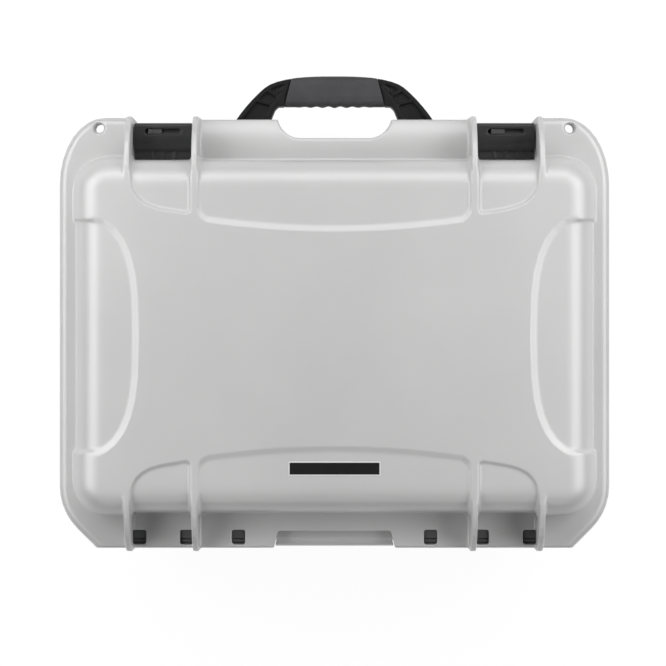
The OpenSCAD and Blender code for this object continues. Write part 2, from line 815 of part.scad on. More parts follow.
module lock_slot() {
    reach = (lock_slot_l - lock_slot_w) / 2;
    translate([0, lock_y, claw_top - lock_depth]) {
        for (s = [-1, 1]) translate([s * reach, 0, 0]) cylinder(r = lock_slot_w / 2, h = lock_depth + cut);
        translate([-reach, -lock_slot_w / 2, 0]) cube([2 * reach, lock_slot_w, lock_depth + cut]);
    }
}

// Lock slide: a bar low in the slot with one raised knob at its end
module latch_lock(side) {
    w = lock_slot_w - 2 * lock_gap;
    l = lock_l - lock_slot_w / 2;
    knob = 2.8;
    color([0.2, 0.2, 0.21]) in_bay(side)
        translate([lock_slot_l / 2 - lock_end - lock_l, lock_y - w / 2, claw_top - lock_depth + lock_gap]) {
            cube([l, w, lock_depth - 1.4]);
            translate([l - knob, 0, 0]) cube([knob, w, lock_depth + 0.3]);
        }
}

// Lever: front plate on its own pin, with a finger lip at the foot
module latch_lever(side) {
    lip = 2;
    color([0.12, 0.12, 0.13]) in_bay(side) difference() {
        union() {
            pin_x(lever_barrel_r, -lever_w / 2, lever_w / 2, lever_pivot_y, lever_pivot_z);
            along_bay(lever_w) polygon([
                [latch_front, lever_pivot_z], [latch_front, lever_pivot_z - lever_l + 8],
                [latch_front - lip, lever_pivot_z - lever_l + 2],
                [latch_front - lip + 1, lever_pivot_z - lever_l],
                [latch_front + lever_t, lever_pivot_z - lever_l],
                [latch_front + lever_t, lever_pivot_z]
            ]);
        }
        pin_x(lever_pin_r + run_gap, -lever_w, lever_w, lever_pivot_y, lever_pivot_z);
    }
}

module claw_pin(side) {
    color([0.7, 0.7, 0.72]) in_bay(side)
        pin_x(claw_pin_r, -bay_w / 2 - rib_t + 0.4, bay_w / 2 + rib_t - 0.4, claw_pivot_y, -claw_drop);
}

module lever_pin(side) {
    color([0.7, 0.7, 0.72]) in_bay(side)
        pin_x(lever_pin_r, -claw_w / 2 + 0.2, claw_w / 2 - 0.2, lever_pivot_y, lever_pivot_z);
}

// Handle, raised

function leg_outer() = curve([handle_half_w, pivot_y + 2], [handle_half_w - 4, pivot_y - 14],
    [handle_half_w - 21, pivot_y - 35], [handle_half_w - 35, crown_y + 10.6]);
function crown() = curve([handle_half_w - 35, crown_y + 10.6], [handle_half_w - 45, crown_y + 1.7],
    [20, crown_y], [0, crown_y]);

module handle_outline() {
    top = crown();
    outer = concat(leg_outer(), [for (k = [1:curve_steps - 1]) top[k]]);
    inner = [[opening_w, grip_y], [opening_w + 3, grip_y + 3], [leg_in - 2, pivot_y + 2]];
    polygon(concat(
        outer, [top[curve_steps]], [for (k = [len(outer) - 1:-1:0]) [-outer[k][0], outer[k][1]]],
        [for (k = [2:-1:0]) [-inner[k][0], inner[k][1]]], inner
    ));
}

// Slanted zone that the grip covers
module grip_zone(grow) {
    slant = 9;
    polygon([
        [-grip_w - grow, grip_y + 4], [grip_w + grow, grip_y + 4],
        [grip_w - slant + grow, crown_y - 4], [-grip_w + slant - grow, crown_y - 4]
    ]);
}

module at_handle() {
    translate([0, 0, base_h - handle_drop]) children();
}

// Bar that runs through the grip from leg to leg
module grip_bar() {
    in = 2.6;
    w = grip_w + 4;
    translate([0, 0, -bar_t / 2]) linear_extrude(bar_t) polygon([
        [-w, grip_y - in], [w, grip_y - in], [w, crown_y + 4 * in], [w - 17, crown_y + 2 * in],
        [17 - w, crown_y + 2 * in], [-w, crown_y + 4 * in]
    ]);
}

// A point of the right leg's pockets: s runs up the leg, t is 0 on its inner and 1 on its outer side
function leg_point(s, t) =
    (1 - t) * cubic([opening_w + 16, pivot_y - 15], [opening_w + 10, pivot_y - 27],
        [opening_w + 3, crown_y + 18], [grip_w - 4.5, crown_y + 8], s) +
    t * cubic([handle_half_w - 13, pivot_y - 15], [handle_half_w - 22, pivot_y - 27],
        [handle_half_w - 34, crown_y + 8.5], [grip_w - 5, crown_y + 7], s);

// Shallow pockets in both faces of the legs, with two webs between them
module leg_pockets() {
    d = 3;
    steps = 4;
    for (m = [0, 1]) mirror([m, 0, 0]) for (r = [[0, 0.45], [0.49, 0.67], [0.71, 0.94]])
        for (z = [-handle_t / 2 - cut, handle_t / 2 - d]) {
            rise = (r[1] - r[0]) / steps;
            translate([0, 0, z]) linear_extrude(d + cut) polygon(concat(
                [for (k = [0:steps]) leg_point(r[0] + k * rise, 1)],
                [for (k = [steps:-1:0]) leg_point(r[0] + k * rise, 0)]
            ));
        }
}

module handle_frame() {
    color([0.11, 0.11, 0.12]) at_handle() difference() {
        union() {
            difference() {
                translate([0, 0, -handle_t / 2]) linear_extrude(handle_t) difference() {
                    handle_outline();
                    grip_zone(0);
                }
                leg_pockets();
            }
            for (s = [-1, 1]) scale_x(s) pin_x(leg_barrel_r + 0.1, leg_in, leg_out, pivot_y, 0);
            grip_bar();
        }
        for (s = [-1, 1]) scale_x(s) {
            pin_x(handle_pin_r + run_gap, leg_in - cut, leg_out + cut, pivot_y, 0);
            box([leg_out, pivot_y - 14, -handle_t], [handle_half_w + cut, pivot_y + 14, handle_t]);
            box([leg_in - 12, pivot_y - 10, -handle_t], [leg_in, pivot_y + 14, handle_t]);
        }
    }
}

// Soft sleeve round the bar: the bow's outline met with a rounded section
module handle_grip() {
    half = grip_d / 2;
    mid = grip_y - half;
    thick = grip_t / 2;
    section = [for (k = [0:15]) let (a = 22.5 * (k + 0.5), p = 0.6)
        [mid + half * sign(cos(a)) * pow(abs(cos(a)), p), thick * sign(sin(a)) * pow(abs(sin(a)), p)]];
    color([0.29, 0.29, 0.3]) at_handle() difference() {
        intersection() {
            translate([0, 0, -thick]) linear_extrude(grip_t) intersection() {
                handle_outline();
                grip_zone(-0.1);
            }
            translate([-grip_w - cut, 0, 0]) rotate([90, 0, 90])
                linear_extrude(2 * grip_w + 2 * cut) polygon(section);
        }
        grip_bar();
    }
}

module handle_pin(side) {
    color([0.7, 0.7, 0.72]) at_handle() scale_x(side)
        pin_x(handle_pin_r, leg_in - lug_gap - lug_t + 0.4, leg_out + lug_gap + lug_t - 0.4, pivot_y, 0);
}

// Pressure valve through the front wall, drawn along its own axis: flange outside, nut inside

module at_valve() {
    translate([0, valve_y, base_h - valve_drop]) rotate([90, 0, 0]) children();
}

module valve_body() {
    stem_l = valve_pad_t + valve_nut_t + 2;
    color([0.13, 0.13, 0.14]) at_valve() difference() {
        union() {
            translate([0, 0, 0.05]) cylinder(r = valve_r + valve_flange, h = valve_flange_t);
            translate([0, 0, 1 - stem_l]) cylinder(r = valve_r, h = stem_l);
        }
        translate([0, 0, -stem_l]) cylinder(r = valve_r - 2.5, h = stem_l);
        valve_ring(0.05);
    }
}

module valve_ring(grow) {
    rotate_extrude() translate([valve_r + valve_ring_r + 0.6, 0.05 + valve_ring_r * 0.9])
        circle(r = valve_ring_r * 0.9 + grow);
}

module valve_seal() {
    color([0.2, 0.2, 0.2]) at_valve() valve_ring(0);
}

module valve_cap() {
    t = 1.8;
    color([0.16, 0.16, 0.17]) at_valve() translate([0, 0, 0.05 + valve_flange_t]) difference() {
        cylinder(r = valve_r + 1, h = t);
        for (a = [0:60:300]) rotate(a) translate([valve_r - 2.5, 0, t - 0.8]) cylinder(r = 1, h = 2);
    }
}

module valve_nut() {
    color([0.13, 0.13, 0.14]) at_valve() translate([0, 0, -valve_pad_t - valve_nut_t]) difference() {
        cylinder(r = valve_r + 4, h = valve_nut_t, $fn = 6);
        translate([0, 0, -cut]) cylinder(r = valve_r, h = valve_nut_t + 2 * cut);
    }
}

// Foam

module floor_pad() {
    color([0.17, 0.17, 0.18]) translate([0, 0, floor_z + 0.2])
        linear_extrude(pad_t)
            polygon(ring(mouth_w - base_draft - pad_in, mouth_d - base_draft - pad_in, pocket_r));
}

module pocket(x, y, w, d, depth) {
    translate([x + w / 2, y + d / 2, foam_top - depth])
        linear_extrude(depth + cut) polygon(ring(w / 2, d / 2, pocket_r));
}

module base_foam() {
    front_row = -foam_d / 2 + foam_wall;
    second_row = front_row + front_row_d + foam_wall;
    battery_row = front_row + extra_pocket_d + foam_wall;
    control_row = battery_row + battery_pocket_d + foam_wall;
    corner = 14;
    color([0.2, 0.2, 0.21]) difference() {
        translate([0, 0, foam_z])
            linear_extrude(foam_top - foam_z) polygon(ring(foam_w / 2, foam_d / 2, corner));
        pocket(left_x, second_row, drone_pocket_w, drone_pocket_d, 84);
        for (k = [0, 1])
            pocket(left_x + k * (half_pocket_w + foam_wall), front_row, half_pocket_w, front_row_d, 52);
        pocket(right_x, front_row, right_w, extra_pocket_d, 40);
        for (k = [0:battery_count - 1])
            pocket(right_x + k * (battery_w + battery_wall), battery_row, battery_w, battery_pocket_d, 68);
        pocket(right_x, control_row, right_w, control_pocket_d, 62);
    }
}

// Convoluted pad in the lid: flat against the ceiling, a grid of rounded peaks below
module lid_foam() {
    nx = 4 * crate_cols;
    ny = 4 * crate_rows;
    low_w = mouth_w - 12;
    low_d = mouth_d - 12;
    top_w = mouth_w - lid_draft - cavity_r - 1.5;
    top_d = mouth_d - lid_draft - cavity_r - 1.5;
    top = ceiling_z - 0.4;
    middle = ceiling_z - crate_t + crate_wave / 2;
    wave = [for (j = [0:ny]) for (i = [0:nx])
        [low_w * (2 * i / nx - 1), low_d * (2 * j / ny - 1),
            middle + crate_wave / 2 * (i % nx == 0 || j % ny == 0 ? 1 : cos(90 * i) * cos(90 * j))]];
    edge = concat([for (i = [0:nx - 1]) i], [for (j = [0:ny - 1]) j * (nx + 1) + nx],
        [for (i = [nx:-1:1]) ny * (nx + 1) + i], [for (j = [ny:-1:1]) j * (nx + 1)]);
    n = len(wave);
    m = len(edge);
    upper = [for (e = edge) [wave[e][0] * top_w / low_w, wave[e][1] * top_d / low_d, top]];
    cells = [for (j = [0:ny - 1]) for (i = [0:nx - 1]) let (a = j * (nx + 1) + i, b = a + nx + 1)
        for (t = [[a, a + 1, b + 1], [a, b + 1, b]]) t];
    sides = [for (k = [0:m - 1]) let (q = (k + 1) % m)
        for (t = [[edge[k], n + k, n + q], [edge[k], n + q, edge[q]]]) t];
    roof = [for (k = [0:m - 1]) [n + m, n + (k + 1) % m, n + k]];
    color([0.2, 0.2, 0.21]) translate([0, 0, base_h])
        polyhedron(concat(wave, upper, [[0, 0, top]]), concat(cells, sides, roof));
}

base_shell();
lid_shell();
gasket();
label_plate();
hinge_leaf(-1);  // hinge_leaf_left
hinge_leaf(1);  // hinge_leaf_right
hinge_screws();
hinge_pin(-1);  // hinge_pin_left
hinge_pin(1);  // hinge_pin_right
latch_claw(-1);  // latch_claw_left
latch_claw(1);  // latch_claw_right
latch_lever(-1);  // latch_lever_left
latch_lever(1);  // latch_lever_right
latch_lock(-1);  // latch_lock_left
latch_lock(1);  // latch_lock_right
claw_pin(-1);  // claw_pin_left
claw_pin(1);  // claw_pin_right
lever_pin(-1);  // lever_pin_left
lever_pin(1);  // lever_pin_right
handle_frame();
handle_grip();
handle_pin(-1);  // handle_pin_left
handle_pin(1);  // handle_pin_right
valve_body();
valve_cap();
valve_seal();
valve_nut();
floor_pad();
base_foam();
lid_foam();
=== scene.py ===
import math

import bmesh
import bpy
import numpy as np
from mathutils import Matrix, Vector


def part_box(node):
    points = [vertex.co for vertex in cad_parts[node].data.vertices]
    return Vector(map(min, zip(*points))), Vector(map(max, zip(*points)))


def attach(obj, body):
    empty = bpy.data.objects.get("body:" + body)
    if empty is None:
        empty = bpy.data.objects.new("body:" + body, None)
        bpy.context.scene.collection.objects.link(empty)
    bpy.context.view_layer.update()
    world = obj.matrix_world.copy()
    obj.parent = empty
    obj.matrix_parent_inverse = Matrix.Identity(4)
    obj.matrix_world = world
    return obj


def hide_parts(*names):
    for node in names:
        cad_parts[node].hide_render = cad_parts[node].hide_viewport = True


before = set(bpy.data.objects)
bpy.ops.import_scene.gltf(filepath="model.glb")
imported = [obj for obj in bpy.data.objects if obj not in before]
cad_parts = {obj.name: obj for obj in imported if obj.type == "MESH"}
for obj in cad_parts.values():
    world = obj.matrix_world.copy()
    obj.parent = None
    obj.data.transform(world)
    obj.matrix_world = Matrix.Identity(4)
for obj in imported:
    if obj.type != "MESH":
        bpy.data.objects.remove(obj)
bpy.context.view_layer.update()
scene = bpy.context.scene

# Viewpoint: straight onto the lid from a long way off, with the handle side at the top of the
# picture. The lens follows from the distance and from the case's width in the frame.
PICTURE_PIXELS = 666
FACE_PIXEL = 0.000844
VIEW_DISTANCE = 2.08
LID_FACE = 0.178
VIEW_CENTRE = (0.0013, -0.0026)
sight = bpy.data.cameras.new("sight")
sight.sensor_width = 36
sight.lens = sight.sensor_width * VIEW_DISTANCE / (PICTURE_PIXELS * FACE_PIXEL)
sight.clip_end = 50
viewpoint = bpy.data.objects.new("viewpoint", sight)
viewpoint.location = (*VIEW_CENTRE, LID_FACE + VIEW_DISTANCE)
viewpoint.rotation_euler = (0, 0, math.pi)
scene.collection.objects.link(viewpoint)
scene.camera = viewpoint


# Base: the deep tub of the case, injection moulded in silver-grey plastic with a satin grain.
# The tool leaves soft fillets at every edge, rib and panel.
MERGE_DISTANCE = 0.00001
MOST_TRIANGLES = 180000


def settle(piece):
    """Leaves the piece with the mesh that its modifiers make."""
    made = piece.evaluated_get(bpy.context.evaluated_depsgraph_get())
    mesh = bpy.data.meshes.new_from_object(made)
    rough = piece.data
    piece.modifiers.clear()
    piece.data = mesh
    bpy.data.meshes.remove(rough)


def soften(piece, rounds, group=""):
    smooth = piece.modifiers.new("soften", "SMOOTH")
    smooth.factor = 0.5
    smooth.iterations = rounds
    smooth.vertex_group = group


def points_of(piece):
    places = np.empty(len(piece.data.vertices) * 3)
    piece.data.vertices.foreach_get("co", places)
    return places.reshape(-1, 3)


def moulded(name, node, grain, rounds, broad=None, broad_rounds=0):
    """A copy of a solid with a moulding's fillets: an even skin, softened edges, thinned flats.

    broad gives the weight of each point for a first softening of the broad walls alone.
    """
    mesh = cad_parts[node].data.copy()
    mesh.materials.clear()
    shape = bmesh.new()
    shape.from_mesh(mesh)
    bmesh.ops.remove_doubles(shape, verts=shape.verts, dist=MERGE_DISTANCE)
    shape.to_mesh(mesh)
    shape.free()
    piece = bpy.data.objects.new(name, mesh)
    scene.collection.objects.link(piece)
    skin = piece.modifiers.new("skin", "REMESH")
    skin.mode = "VOXEL"
    skin.voxel_size = grain * 1
    settle(piece)
    if broad:
        weights = np.round(broad(points_of(piece)), 1)
        group = piece.vertex_groups.new(name="broad")
        for weight in np.unique(weights):
            group.add(np.flatnonzero(weights == weight).tolist(), float(weight), "REPLACE")
        soften(piece, broad_rounds, group.name)
    soften(piece, rounds)
    settle(piece)
    piece.vertex_groups.clear()
    triangles = 2 * len(piece.data.polygons)
    if triangles > MOST_TRIANGLES:
        thin = piece.modifiers.new("thin", "DECIMATE")
        thin.ratio = MOST_TRIANGLES / triangles
        settle(piece)
    piece.data.shade_smooth()
    return piece


def ramp(low, high, value):
    """0 below low, 1 above high, and a smooth rise between them."""
    part = np.clip((value - low) / (high - low), 0, 1)
    return part * part * (3 - 2 * part)


# In metres: the ribs, the broad walls and the turns of their corners from the case's middle, the
# foot of a rib from its own centre, and the heights of the parting line, the rim and its fillet.
RIBS = (0.1188, 0.176)
RIB_FOOT = (0.0055, 0.009)
RIB_START = (0.114, 0.122)
WALL_X = 0.224
WALL_Y = 0.154
WALL_FADE = 0.002
TURN_X = (0.192, 0.200)
TURN_Y = (0.122, 0.130)
PARTING = 0.122
RIM = 0.012
RIM_FILLET = (0.002, 0.006)


def away_from_ribs(places):
    """1 on the broad walls and faces, near 0 on the ribs and outside the walls."""
    across, along = np.abs(places[:, 0]), np.abs(places[:, 1])
    beside = np.minimum(np.abs(across - RIBS[0]), np.abs(across - RIBS[1]))
    clear = np.maximum(ramp(*RIB_FOOT, beside), 1 - ramp(*RIB_START, along))
    inside = 1 - ramp(WALL_X, WALL_X + WALL_FADE, across)
    inside *= 1 - ramp(WALL_Y, WALL_Y + WALL_FADE, along)
    turning = np.maximum(ramp(*TURN_X, across), ramp(*TURN_Y, along))
    return clear * inside * turning


def base_walls(places):
    """The base's broad walls, below its rim."""
    low_side = PARTING - RIM
    below_rim = 1 - ramp(low_side - RIM_FILLET[1], low_side - RIM_FILLET[0], places[:, 2])
    return away_from_ribs(places) * below_rim


def plastic(name, pale, deep, rough, cloud, grain, relief):
    """Moulded plastic: a faint cloud in the colour, the tool's fine grain in gloss and relief."""
    made = bpy.data.materials.new(name)
    made.use_nodes = True
    nodes, join = made.node_tree.nodes, made.node_tree.links.new
    shader = nodes["Principled BSDF"]
    place = nodes.new("ShaderNodeTexCoord")
    clouds = nodes.new("ShaderNodeTexNoise")
    clouds.inputs["Scale"].default_value = cloud
    clouds.inputs["Detail"].default_value = 4
    tones = nodes.new("ShaderNodeValToRGB")
    tones.color_ramp.elements[0].position = 0.35
    tones.color_ramp.elements[1].position = 0.65
    tones.color_ramp.elements[0].color = (*deep, 1)
    tones.color_ramp.elements[1].color = (*pale, 1)
    grains = nodes.new("ShaderNodeTexNoise")
    grains.inputs["Scale"].default_value = grain
    grains.inputs["Detail"].default_value = 3
    gloss = nodes.new("ShaderNodeMapRange")
    gloss.inputs["To Min"].default_value = rough - 0.07
    gloss.inputs["To Max"].default_value = rough + 0.07
    bump = nodes.new("ShaderNodeBump")
    bump.inputs["Strength"].default_value = relief
    bump.inputs["Distance"].default_value = 0.0002
    join(place.outputs["Object"], clouds.inputs["Vector"])
    join(place.outputs["Object"], grains.inputs["Vector"])
    join(clouds.outputs["Fac"], tones.inputs["Fac"])
    join(tones.outputs["Color"], shader.inputs["Base Color"])
    join(grains.outputs["Fac"], gloss.inputs["Value"])
    join(gloss.outputs["Result"], shader.inputs["Roughness"])
    join(grains.outputs["Fac"], bump.inputs["Height"])
    join(bump.outputs["Normal"], shader.inputs["Normal"])
    shader.inputs["Specular IOR Level"].default_value = 0.4
    return made


silver = plastic(
    "silver_grain",
    (0.585, 0.585, 0.583),
    (0.555, 0.555, 0.554),
    rough=0.4,
    cloud=9,
    grain=1700,
    relief=0.12,
)
silver_gloss = silver.node_tree.nodes["Principled BSDF"].inputs
silver_gloss["Specular IOR Level"].default_value = 0.8
silver_gloss["IOR"].default_value = 1.75
base_tub = moulded(
    "base_tub", "base_shell", grain=0.001, rounds=2, broad=base_walls, broad_rounds=14
)
base_tub.data.materials.append(silver)
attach(base_tub, "base")
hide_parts("base_shell")


# Lid: moulded from the same plastic as the base, with the raised cross-shaped face, the soft-edged
# recessed panels, the rib fins beside latches and hinges, and the wide rim.
NOTCH_X = (0.053, 0.057)
NOTCH_Y = (-0.1665, -0.1635)
NOTCH_RISE = (0.004, 0.007)


def lid_walls(places):
    """The lid's broad walls, and the rounded upper edge of the finger notch."""
    across, along, height = np.abs(places[:, 0]), places[:, 1], places[:, 2]
    high_side = PARTING + RIM
    above_rim = ramp(high_side + RIM_FILLET[0], high_side + RIM_FILLET[1], height)
    notch = (1 - ramp(*NOTCH_X, across)) * (1 - ramp(*NOTCH_Y, along))
    upper_edge = ramp(PARTING + NOTCH_RISE[0], PARTING + NOTCH_RISE[1], height)
    return np.maximum(away_from_ribs(places) * above_rim, notch * upper_edge)


lid_cover = moulded(
    "lid_cover", "lid_shell", grain=0.001, rounds=2, broad=lid_walls, broad_rounds=14
)
lid_cover.data.materials.append(silver)
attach(lid_cover, "lid")
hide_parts("lid_shell")


# Label plate: a thin glossy plate set into the lid's lower panel, left blank,
# one dark field inside a pale printed border.
def block(shape, size, middle):
    place = Matrix.Translation(middle) @ Matrix.Diagonal((*size, 1))
    bmesh.ops.create_cube(shape, size=1, matrix=place)


def piece_from(shape, name, *finishes):
    mesh = bpy.data.meshes.new(name)
    shape.to_mesh(mesh)
    shape.free()
    for finish in finishes:
        mesh.materials.append(finish)
    piece = bpy.data.objects.new(name, mesh)
    scene.collection.objects.link(piece)
    return piece


PLATE_CORNER = 0.0009
PLATE_EDGE = 0.0002
BORDER_WIDTH = 0.0008
label_low, label_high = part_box("label_plate")
label_middle = (label_low + label_high) / 2
label_size = label_high - label_low
plate = bmesh.new()
block(plate, label_size, label_middle)
uprights = [e for e in plate.edges if abs((e.verts[0].co - e.verts[1].co).z) > label_size.z / 2]
bmesh.ops.bevel(
    plate, geom=uprights, offset=PLATE_CORNER, segments=4, profile=0.5, affect="EDGES", material=-1
)
top = [f for f in plate.faces if f.normal.z > 0.9]
rim_edges = [e for e in plate.edges if any(f in top for f in e.link_faces)]
bmesh.ops.bevel(
    plate, geom=rim_edges, offset=PLATE_EDGE, segments=2, profile=0.5, affect="EDGES", material=-1
)
field = [f for f in plate.faces if f.normal.z > 0.99]
bmesh.ops.inset_region(plate, faces=field, thickness=BORDER_WIDTH, depth=0)
field_faces = set(field)
for face in plate.faces:
    face.material_index = 0 if face in field_faces else 1
field_ink = plastic(
    "label_field",
    (0.018, 0.018, 0.019),
    (0.014, 0.014, 0.015),
    rough=0.3,
    cloud=40,
    grain=2600,
    relief=0.03,
)
field_ink.node_tree.nodes["Principled BSDF"].inputs["Coat Weight"].default_value = 0.4
border_ink = plastic(
    "label_border",
    (0.78, 0.78, 0.78),
    (0.74, 0.74, 0.74),
    rough=0.32,
    cloud=40,
    grain=2600,
    relief=0.03,
)
label = piece_from(plate, "blank_label", field_ink, border_ink)
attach(label, "lid")
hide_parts("label_plate")


# Gasket: a closed ring of black rubber with a rectangular section, pressed into the groove round
# the lid's mouth. The lip of the base's rim comes up against it when the case is shut.
def rubber(name, pale, deep, rough, pebble, relief):
    """Matt rubber: a pebbled skin of small cells under a dusty bloom."""
    made = bpy.data.materials.new(name)
    made.use_nodes = True
    nodes, join = made.node_tree.nodes, made.node_tree.links.new
    shader = nodes["Principled BSDF"]
    place = nodes.new("ShaderNodeTexCoord")
    bloom = nodes.new("ShaderNodeTexNoise")
    bloom.inputs["Scale"].default_value = 60
    bloom.inputs["Detail"].default_value = 5
    tones = nodes.new("ShaderNodeValToRGB")
    tones.color_ramp.elements[0].position = 0.3
    tones.color_ramp.elements[1].position = 0.7
    tones.color_ramp.elements[0].color = (*deep, 1)
    tones.color_ramp.elements[1].color = (*pale, 1)
    pebbles = nodes.new("ShaderNodeTexVoronoi")
    pebbles.inputs["Scale"].default_value = pebble
    gloss = nodes.new("ShaderNodeMapRange")
    gloss.inputs["To Min"].default_value = rough - 0.1
    gloss.inputs["To Max"].default_value = rough + 0.08
    bump = nodes.new("ShaderNodeBump")
    bump.invert = True
    bump.inputs["Strength"].default_value = relief
    bump.inputs["Distance"].default_value = 0.0003
    join(place.outputs["Object"], bloom.inputs["Vector"])
    join(place.outputs["Object"], pebbles.inputs["Vector"])
    join(bloom.outputs["Fac"], tones.inputs["Fac"])
    join(tones.outputs["Color"], shader.inputs["Base Color"])
    join(pebbles.outputs["Distance"], gloss.inputs["Value"])
    join(gloss.outputs["Result"], shader.inputs["Roughness"])
    join(pebbles.outputs["Distance"], bump.inputs["Height"])
    join(bump.outputs["Normal"], shader.inputs["Normal"])
    shader.inputs["Specular IOR Level"].default_value = 0.3
    return made


def refinish(node, finish):
    """Gives a solid that is shown as it is its own finish."""
    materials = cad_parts[node].data.materials
    materials.clear()
    materials.append(finish)


seal = rubber(
    "seal_rubber",
    (0.03, 0.03, 0.03),
    (0.018, 0.018, 0.018),
    rough=0.7,
    pebble=900,
    relief=0.2,
)
refinish("gasket", seal)


# Hinge: black nylon leaves under the lid's rim, with banded lugs that fill the rim windows, held by
# steel screws and turning on drawn steel pins in the base's knuckles.
def steel(name, tone, rough):
    """Drawn steel: fine lines along the pin, and a little uneven oil film."""
    made = bpy.data.materials.new(name)
    made.use_nodes = True
    nodes, join = made.node_tree.nodes, made.node_tree.links.new
    shader = nodes["Principled BSDF"]
    place = nodes.new("ShaderNodeTexCoord")
    stretch = nodes.new("ShaderNodeMapping")
    stretch.inputs["Scale"].default_value = (60, 2600, 2600)
    lines = nodes.new("ShaderNodeTexNoise")
    lines.inputs["Scale"].default_value = 1
    lines.inputs["Detail"].default_value = 2
    tones = nodes.new("ShaderNodeValToRGB")
    tones.color_ramp.elements[0].color = (*(0.85 * c for c in tone), 1)
    tones.color_ramp.elements[1].color = (*tone, 1)
    gloss = nodes.new("ShaderNodeMapRange")
    gloss.inputs["To Min"].default_value = rough - 0.08
    gloss.inputs["To Max"].default_value = rough + 0.1
    bump = nodes.new("ShaderNodeBump")
    bump.inputs["Strength"].default_value = 0.15
    bump.inputs["Distance"].default_value = 0.0001
    join(place.outputs["Object"], stretch.inputs["Vector"])
    join(stretch.outputs["Vector"], lines.inputs["Vector"])
    join(lines.outputs["Fac"], tones.inputs["Fac"])
    join(tones.outputs["Color"], shader.inputs["Base Color"])
    join(lines.outputs["Fac"], gloss.inputs["Value"])
    join(gloss.outputs["Result"], shader.inputs["Roughness"])
    join(lines.outputs["Fac"], bump.inputs["Height"])
    join(bump.outputs["Normal"], shader.inputs["Normal"])
    shader.inputs["Metallic"].default_value = 1
    return made


nylon = plastic(
    "black_nylon_grain",
    (0.013, 0.013, 0.014),
    (0.009, 0.009, 0.01),
    rough=0.5,
    cloud=30,
    grain=2000,
    relief=0.2,
)
nylon.node_tree.nodes["Principled BSDF"].inputs["Specular IOR Level"].default_value = 0.22
# Painted light: the hinge leaves are black nylon, but this copy is several times lighter than the
# other black nylon. It is painted light, so that the lugs in the shaded rim windows read as lit
# grey.
painted_light_hinge_nylon = plastic(
    "hinge_nylon_grain",
    (0.1, 0.1, 0.103),
    (0.085, 0.085, 0.088),
    rough=0.44,
    cloud=30,
    grain=2000,
    relief=0.2,
)
pin_steel = steel("drawn_steel", (0.62, 0.62, 0.64), rough=0.34)
for side in ("left", "right"):
    refinish("hinge_leaf_" + side, painted_light_hinge_nylon)
    refinish("hinge_pin_" + side, pin_steel)
refinish("hinge_screws", pin_steel)


# Latches: a claw that hooks over the lid's keeper and a lever hung in its ears, both moulded in
# glass-filled black nylon, on steel pins. A lock slide with a raised knob runs in the slot on
# top of the claw.
latch_nylon = plastic(
    "latch_nylon_grain",
    (0.034, 0.034, 0.036),
    (0.026, 0.026, 0.027),
    rough=0.4,
    cloud=30,
    grain=2000,
    relief=0.2,
)
slide_nylon = plastic(
    "lock_nylon_grain",
    (0.075, 0.075, 0.078),
    (0.062, 0.062, 0.064),
    rough=0.4,
    cloud=40,
    grain=2200,
    relief=0.2,
)
for side in ("left", "right"):
    claw = moulded("claw_hook_" + side, "latch_claw_" + side, grain=0.0005, rounds=10)
    claw.data.materials.append(latch_nylon)
    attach(claw, "claw_" + side)
    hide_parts("latch_claw_" + side)
    lever = moulded("pull_lever_" + side, "latch_lever_" + side, grain=0.0005, rounds=5)
    lever.data.materials.append(latch_nylon)
    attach(lever, "lever_" + side)
    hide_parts("latch_lever_" + side)
    slide = moulded("lock_button_" + side, "latch_lock_" + side, grain=0.00022, rounds=3)
    slide.data.materials.append(slide_nylon)
    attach(slide, "lock_" + side)
    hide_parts("latch_lock_" + side)
    refinish("claw_pin_" + side, pin_steel)
    refinish("lever_pin_" + side, pin_steel)


# Handle: a black nylon bow with webbed pockets in its legs, on two steel pins, and a soft
# grey grip moulded over its bar, with shallow finger ripples on the inside.
bow = moulded("handle_bow", "handle_frame", grain=0.0007, rounds=4)
bow.data.materials.append(nylon)
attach(bow, "handle")
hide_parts("handle_frame")

RIPPLE_PITCH = 0.0105
RIPPLE_HEIGHT = 0.0007
RIPPLE_REACH = 0.036
grip = moulded("grip_sleeve", "handle_grip", grain=0.0007, rounds=4)
grip_low, grip_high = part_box("handle_grip")
grip_middle = (grip_low + grip_high) / 2
for point in grip.data.vertices:
    inner = min(max((point.co.y - grip_middle.y) / (grip_high.y - grip_middle.y), 0), 1)
    fade = max(1 - abs(point.co.x) / RIPPLE_REACH, 0) ** 0.5
    wave = math.cos(2 * math.pi * point.co.x / RIPPLE_PITCH)
    point.co.y += RIPPLE_HEIGHT * inner ** 3 * fade * wave
grip_rubber = rubber(
    "grip_rubber",
    (0.062, 0.062, 0.065),
    (0.052, 0.052, 0.055),
    rough=0.64,
    pebble=620,
    relief=0.35,
)
grip.data.materials.append(grip_rubber)
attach(grip, "handle")
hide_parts("handle_grip")
for side in ("left", "right"):
    refinish("handle_pin_" + side, pin_steel)


# Pressure valve: a nylon stem through the front wall with a flange and a vented cap outside,
# a rubber ring under the flange and a nut inside.
refinish("valve_body", nylon)
refinish("valve_cap", slide_nylon)
refinish("valve_seal", seal)
refinish("valve_nut", nylon)


